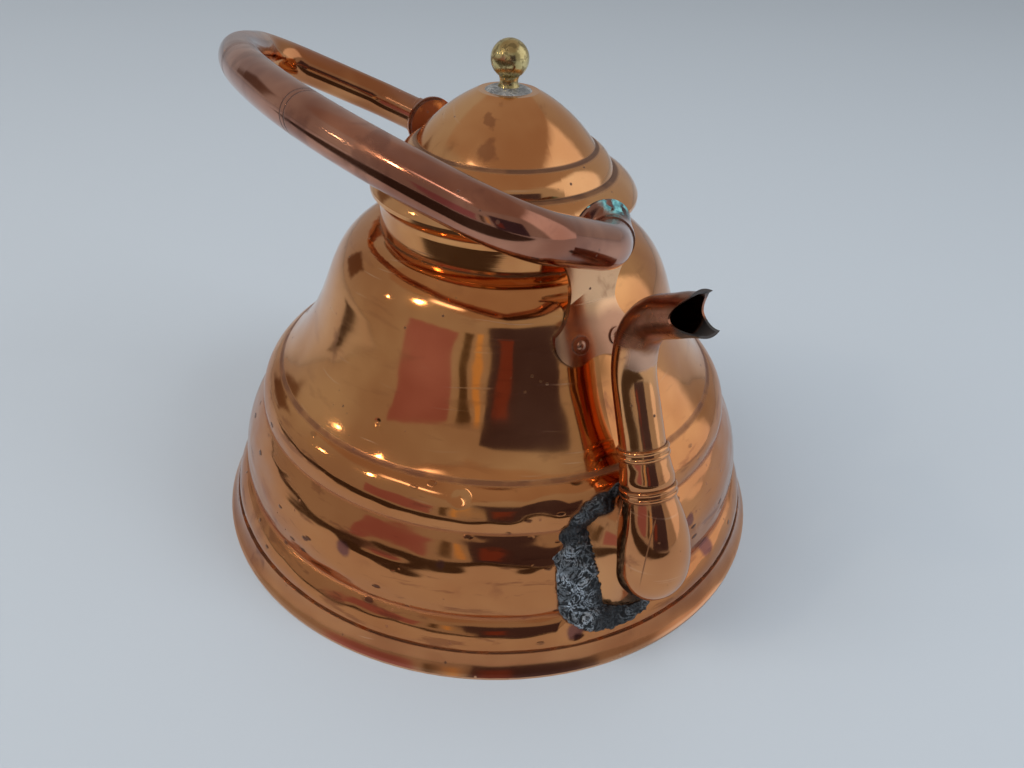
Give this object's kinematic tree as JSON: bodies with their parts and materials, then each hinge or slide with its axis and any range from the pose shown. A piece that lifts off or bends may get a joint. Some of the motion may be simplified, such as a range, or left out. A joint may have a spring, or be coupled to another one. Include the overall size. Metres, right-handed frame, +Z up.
{
  "type": "kettle",
  "caption": "Copper kettle with a bell body on a ribbed skirt, beaked gooseneck spout, swinging horseshoe handle and lift-off domed lid.",
  "frame": {"origin": "middle of the base, on the surface the kettle stands on", "axes": "+Z up, +X towards the spout; the handle swings about a line along X and leans towards -Y"},
  "size_m": [0.3714, 0.36, 0.2948],
  "materials": {
    "body_copper": "polished copper with fine scratches and small dents",
    "base_copper": "copper, duller and more worn than the body",
    "lid_copper": "polished copper with brown blotches",
    "spout_copper": "polished copper with dull patches near the joints",
    "ear_copper": "rubbed copper, browned in the corners",
    "rivet_copper": "hammered copper",
    "handle_copper": "dull pinkish brown copper, rubbed where it is held",
    "knob_brass": "mottled greenish yellow brass",
    "tin_solder": "dull grey crystalline tin"
  },
  "bodies": {
    "kettle": {"body_shell": "body_copper", "neck_collar": "body_copper", "base_pan": "base_copper", "base_seam_solder": "tin_solder", "spout_bulb": "spout_copper", "spout_lower_collar": "spout_copper", "spout_middle": "spout_copper", "spout_upper_collar": "spout_copper", "spout_beak": "spout_copper", "spout_solder": "tin_solder", "front_ear": "ear_copper", "back_ear": "ear_copper", "front_ear_rivets": "rivet_copper", "back_ear_rivets": "rivet_copper", "front_ear_roves": "rivet_copper", "back_ear_roves": "rivet_copper", "front_pivot_pin": "rivet_copper", "back_pivot_pin": "rivet_copper", "front_pivot_rove": "rivet_copper", "back_pivot_rove": "rivet_copper"},
    "handle": {"handle_tube": "handle_copper", "handle_front_flare": "handle_copper", "handle_back_flare": "handle_copper", "handle_front_cap": "handle_copper", "handle_back_cap": "handle_copper"},
    "lid": {"lid_shell": "lid_copper", "lid_collar": "lid_copper", "lid_knob": "knob_brass", "knob_washer": "knob_brass", "knob_solder": "tin_solder"}
  },
  "joints": [
    {"name": "handle_swing", "type": "hinge", "parent": "kettle", "child": "handle", "pos_m": [0, 0, 0.223], "axis": [1, 0, 0], "range_deg": [-187, 55]},
    {"name": "lid_lift", "type": "slide", "parent": "kettle", "child": "lid", "axis": [0, 0, 1], "range_m": [0, 0.12]}
  ]
}
